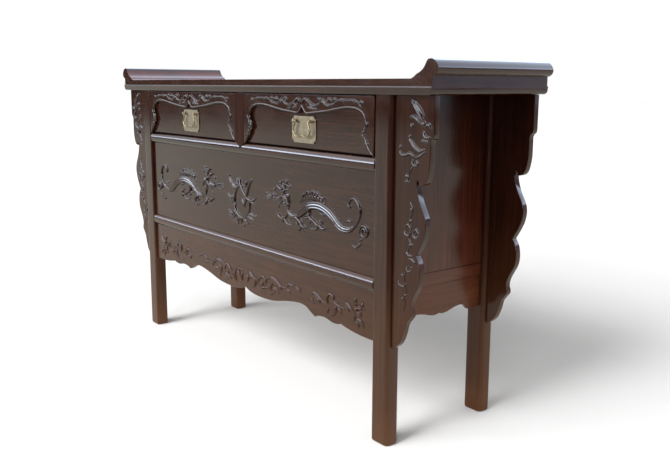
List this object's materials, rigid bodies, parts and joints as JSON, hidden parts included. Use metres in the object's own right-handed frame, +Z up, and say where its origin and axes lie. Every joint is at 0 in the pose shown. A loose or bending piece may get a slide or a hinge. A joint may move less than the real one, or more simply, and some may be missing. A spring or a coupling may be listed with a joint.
{
  "type": "altar coffer sideboard",
  "caption": "Long narrow altar coffer with everted flange ends, cusped hanging spandrels, sliding drawers with hinged bails and a closed compartment behind a carved panel.",
  "frame": {"origin": "on the floor, at the middle of the length and of the depth", "axes": "+X along the front to the right, -Y out of the front, +Z up"},
  "size_m": [1.562, 0.3844, 0.9003],
  "materials": {
    "dark_hardwood": "dark red-brown lacquered and polished hardwood",
    "inner_wood": "plain unpolished secondary wood inside",
    "brass": "pale antique brass with a dull patina"
  },
  "bodies": {
    "carcass": {"top_board": "dark_hardwood", "flange_left": "dark_hardwood", "flange_right": "dark_hardwood", "leg_front_left": "dark_hardwood", "leg_front_right": "dark_hardwood", "leg_back_left": "dark_hardwood", "leg_back_right": "dark_hardwood", "upper_rail": "dark_hardwood", "lower_rail": "dark_hardwood", "centre_stile": "dark_hardwood", "front_panel": "dark_hardwood", "front_apron": "dark_hardwood", "side_panel_left": "dark_hardwood", "side_panel_right": "dark_hardwood", "side_rail_left": "dark_hardwood", "side_rail_right": "dark_hardwood", "side_apron_left": "dark_hardwood", "side_apron_right": "dark_hardwood", "back_rail_upper": "dark_hardwood", "back_rail_lower": "dark_hardwood", "back_panel_upper": "dark_hardwood", "back_panel_lower": "dark_hardwood", "spandrel_front_left": "dark_hardwood", "spandrel_front_right": "dark_hardwood", "spandrel_back_left": "dark_hardwood", "spandrel_back_right": "dark_hardwood", "compartment_floor": "inner_wood", "floor_bearer_left": "inner_wood", "floor_bearer_right": "inner_wood", "drawer_runner_left": "inner_wood", "drawer_runner_right": "inner_wood", "drawer_runner_centre": "inner_wood", "drawer_guide_left": "inner_wood", "drawer_guide_right": "inner_wood", "drawer_guide_centre": "inner_wood"},
    "drawer_left": {"drawer_arch_left": "dark_hardwood", "drawer_front_left": "dark_hardwood", "drawer_left_side_l": "inner_wood", "drawer_left_side_r": "inner_wood", "drawer_back_left": "inner_wood", "drawer_bottom_left": "inner_wood", "pull_plate_left": "brass", "pull_post_left_l": "brass", "pull_post_left_r": "brass"},
    "drawer_right": {"drawer_arch_right": "dark_hardwood", "drawer_front_right": "dark_hardwood", "drawer_right_side_l": "inner_wood", "drawer_right_side_r": "inner_wood", "drawer_back_right": "inner_wood", "drawer_bottom_right": "inner_wood", "pull_plate_right": "brass", "pull_post_right_l": "brass", "pull_post_right_r": "brass"},
    "bail_left": {"bail_left": "brass"},
    "bail_right": {"bail_right": "brass"}
  },
  "joints": [
    {"name": "drawer_left_slide", "type": "slide", "parent": "carcass", "child": "drawer_left", "axis": [0, -1, 0], "range_m": [0, 0.25]},
    {"name": "drawer_right_slide", "type": "slide", "parent": "carcass", "child": "drawer_right", "axis": [0, -1, 0], "range_m": [0, 0.25]},
    {"name": "bail_left_swing", "type": "hinge", "parent": "drawer_left", "child": "bail_left", "pos_m": [-0.30075, -0.1853, 0.75582], "axis": [-1, 0, 0], "range_deg": [0, 95]},
    {"name": "bail_right_swing", "type": "hinge", "parent": "drawer_right", "child": "bail_right", "pos_m": [0.30075, -0.1853, 0.75582], "axis": [-1, 0, 0], "range_deg": [0, 95]}
  ]
}
